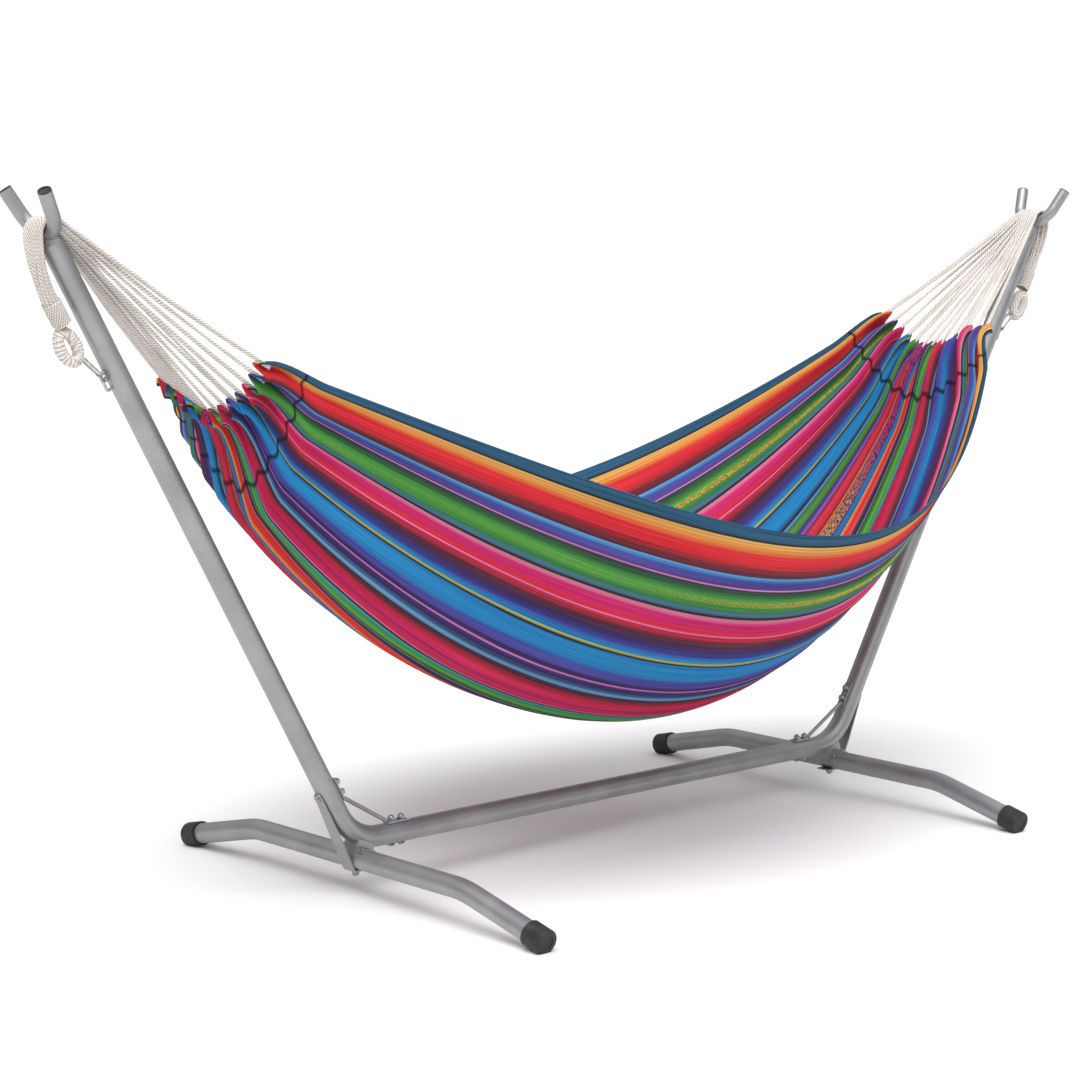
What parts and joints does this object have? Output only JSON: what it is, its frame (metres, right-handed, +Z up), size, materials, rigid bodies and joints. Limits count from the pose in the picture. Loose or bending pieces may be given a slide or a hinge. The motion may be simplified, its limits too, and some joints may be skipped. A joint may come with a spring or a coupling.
{
  "type": "hammock on stand",
  "caption": "Gathered-end woven hammock hung by cotton cords between two forks of a free-standing bent-tube steel stand with cross legs and rubber feet.",
  "frame": {"origin": "on the floor, in the middle between the four feet", "axes": "+X along the centre beam to the right end, +Y across the stand to the rear, +Z up"},
  "size_m": [2.8672, 1.124, 1.3579],
  "materials": {
    "painted_steel": "satin silver-grey powder coat",
    "zinc_fasteners": "dull zinc plate",
    "zinc_wire": "bright zinc plate",
    "black_rubber": "matt",
    "black_plastic": "satin",
    "cotton_cord": "natural twisted cotton",
    "striped_cotton": "woven multicolour stripes"
  },
  "bodies": {
    "stand": {"centre_beam": "painted_steel", "left_upright": "painted_steel", "right_upright": "painted_steel", "left_fork": "painted_steel", "right_fork": "painted_steel", "left_leg": "painted_steel", "right_leg": "painted_steel", "left_front_foot": "black_rubber", "left_rear_foot": "black_rubber", "right_front_foot": "black_rubber", "right_rear_foot": "black_rubber", "left_front_plug": "black_plastic", "left_rear_plug": "black_plastic", "right_front_plug": "black_plastic", "right_rear_plug": "black_plastic", "left_brace": "painted_steel", "right_brace": "painted_steel", "left_tie_rod": "painted_steel", "right_tie_rod": "painted_steel", "left_saddle": "painted_steel", "right_saddle": "painted_steel", "left_joint_bolts": "zinc_fasteners", "right_joint_bolts": "zinc_fasteners", "left_joint_nuts": "zinc_fasteners", "right_joint_nuts": "zinc_fasteners", "left_joint_washers": "zinc_fasteners", "right_joint_washers": "zinc_fasteners", "left_leg_bolt": "zinc_fasteners", "right_leg_bolt": "zinc_fasteners", "left_leg_nut": "zinc_fasteners", "right_leg_nut": "zinc_fasteners", "left_saddle_screws": "zinc_fasteners", "right_saddle_screws": "zinc_fasteners", "left_eye": "zinc_wire", "right_eye": "zinc_wire", "left_snap_hook": "zinc_wire", "right_snap_hook": "zinc_wire", "left_gate_rivet": "zinc_fasteners", "right_gate_rivet": "zinc_fasteners", "left_cord_bundle": "cotton_cord", "right_cord_bundle": "cotton_cord", "left_whipping": "cotton_cord", "right_whipping": "cotton_cord", "left_end_loop": "cotton_cord", "right_end_loop": "cotton_cord"},
    "hammock": {"bed": "striped_cotton", "left_cord_fan": "cotton_cord", "right_cord_fan": "cotton_cord"},
    "left_gate": {"left_hook_gate": "zinc_wire"},
    "right_gate": {"right_hook_gate": "zinc_wire"}
  },
  "joints": [
    {"name": "hammock_swing", "type": "hinge", "parent": "stand", "child": "hammock", "pos_m": [0, 0, 1.296], "axis": [1, 0, 0], "range_deg": [-25, 25]},
    {"name": "right_gate_open", "type": "hinge", "parent": "stand", "child": "right_gate", "pos_m": [1.27067, -0.008, 1.02785], "axis": [-0.6433, 0, 0.7656], "range_deg": [0, 18], "stiffness_Nm_per_rad": 0.02},
    {"name": "left_gate_open", "type": "hinge", "parent": "stand", "child": "left_gate", "pos_m": [-1.27067, -0.008, 1.02785], "axis": [-0.6433, 0, -0.7656], "range_deg": [0, 18], "stiffness_Nm_per_rad": 0.02}
  ]
}
